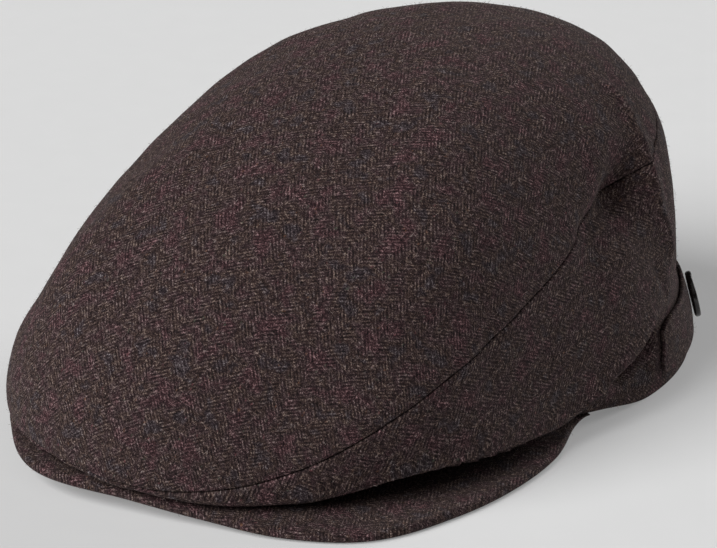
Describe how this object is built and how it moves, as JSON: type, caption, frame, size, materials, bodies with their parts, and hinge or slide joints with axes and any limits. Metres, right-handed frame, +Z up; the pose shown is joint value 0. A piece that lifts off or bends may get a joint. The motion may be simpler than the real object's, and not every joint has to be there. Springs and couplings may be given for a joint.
{
  "type": "flat cap",
  "caption": "Flat cap: a full herringbone tweed crown of a long top panel and two side panels, drawn forward over a stiff covered peak, with a buttoned half belt behind.",
  "frame": {"origin": "middle of the footprint, on the surface the cap rests on", "axes": "+Z up, the peak points to -Y, the wearer's left is +X"},
  "size_m": [0.2134, 0.2856, 0.132],
  "materials": {
    "tweed": "brushed herringbone wool, dark brown with maroon, tan and grey flecks",
    "button": "polished dark brown, almost black"
  },
  "bodies": {
    "root": {"crown_top": "tweed", "side_panel_left": "tweed", "side_panel_right": "tweed", "peak": "tweed", "back_strap": "tweed", "strap_button_left": "button", "strap_button_right": "button"}
  },
  "joints": []
}
